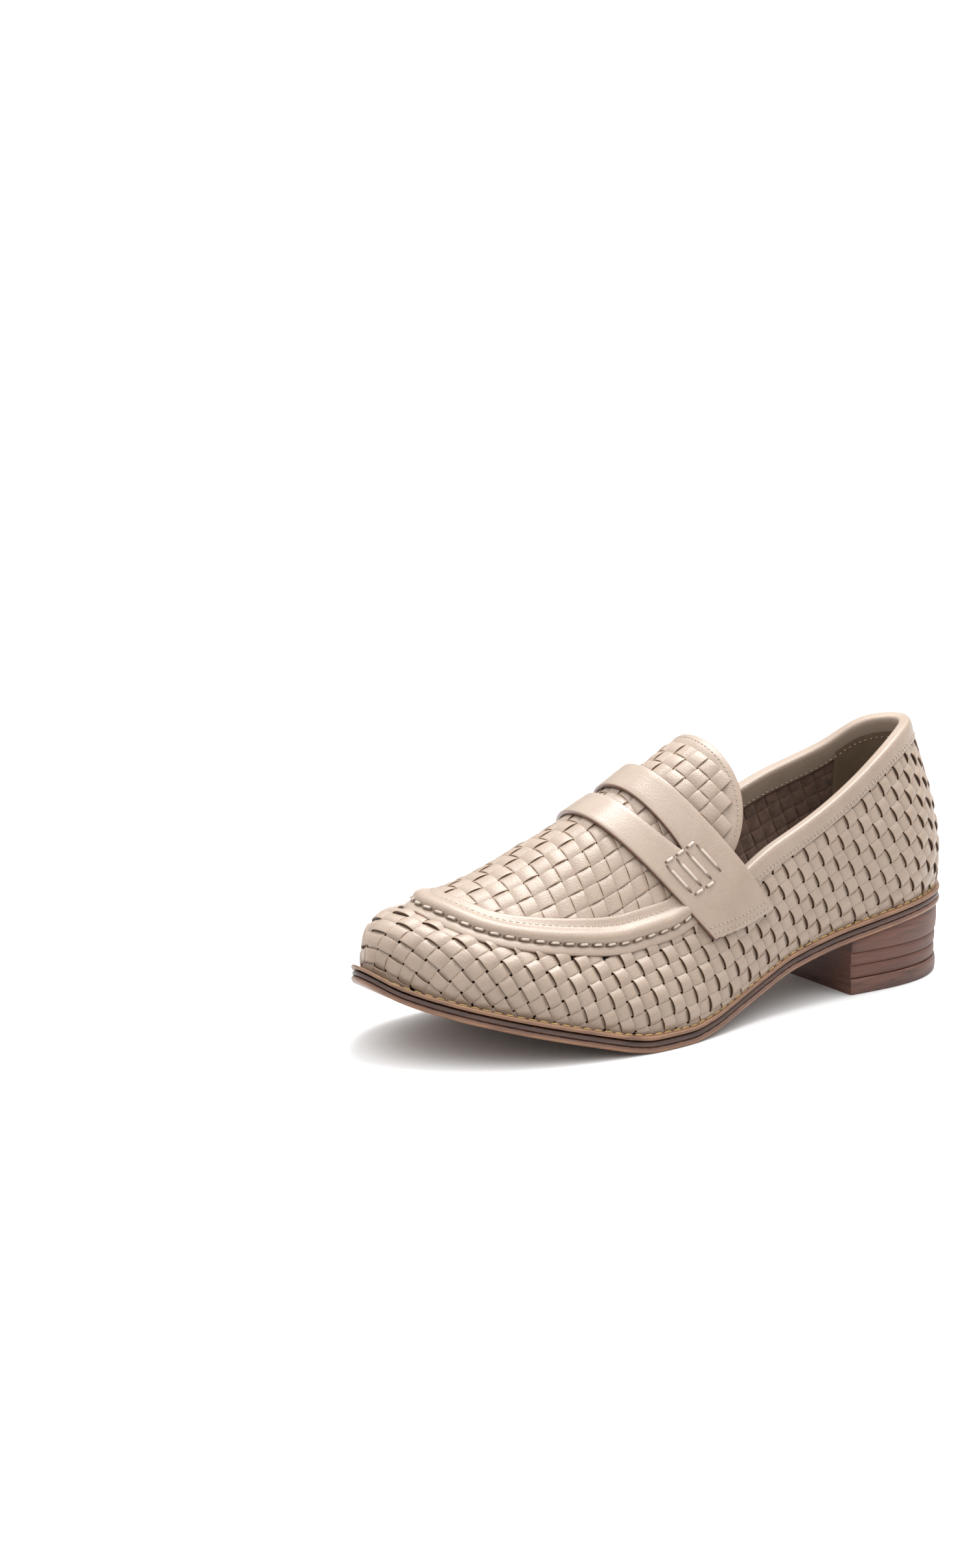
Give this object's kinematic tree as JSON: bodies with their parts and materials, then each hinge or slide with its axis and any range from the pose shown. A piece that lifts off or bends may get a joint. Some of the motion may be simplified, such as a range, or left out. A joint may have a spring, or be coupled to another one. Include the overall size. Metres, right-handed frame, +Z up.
{
  "type": "woven penny loafer",
  "caption": "Woven moccasin-type slip-on shoe for the left foot: hollow woven upper with stitched apron, slotted strap, woven tongue, welted sole and low stacked heel.",
  "frame": {"origin": "on the floor, under the middle of the sole's length and width", "axes": "+Z up, the toe points to -Y, the outer (lateral) side of the foot is +X"},
  "size_m": [0.0933, 0.2546, 0.0993],
  "materials": {
    "upper_leather": "satin cream, woven strips with dark cut edges",
    "trim_leather": "satin cream, smooth",
    "lining_leather": "brown suede and smooth lining",
    "welt_leather": "olive tan, stitched",
    "midsole_leather": "dark brown edge",
    "sole_leather": "tan edge",
    "heel_leather": "red brown stacked lifts, matt"
  },
  "bodies": {
    "root": {"upper": "upper_leather", "apron_border": "trim_leather", "topline_binding": "trim_leather", "back_strip": "trim_leather", "strap": "trim_leather", "tongue": "upper_leather", "insole": "lining_leather", "welt": "welt_leather", "midsole": "midsole_leather", "outsole": "sole_leather", "heel_wedge": "heel_leather", "heel_lift_2": "heel_leather", "heel_lift_1": "heel_leather", "top_lift": "heel_leather"}
  },
  "joints": []
}
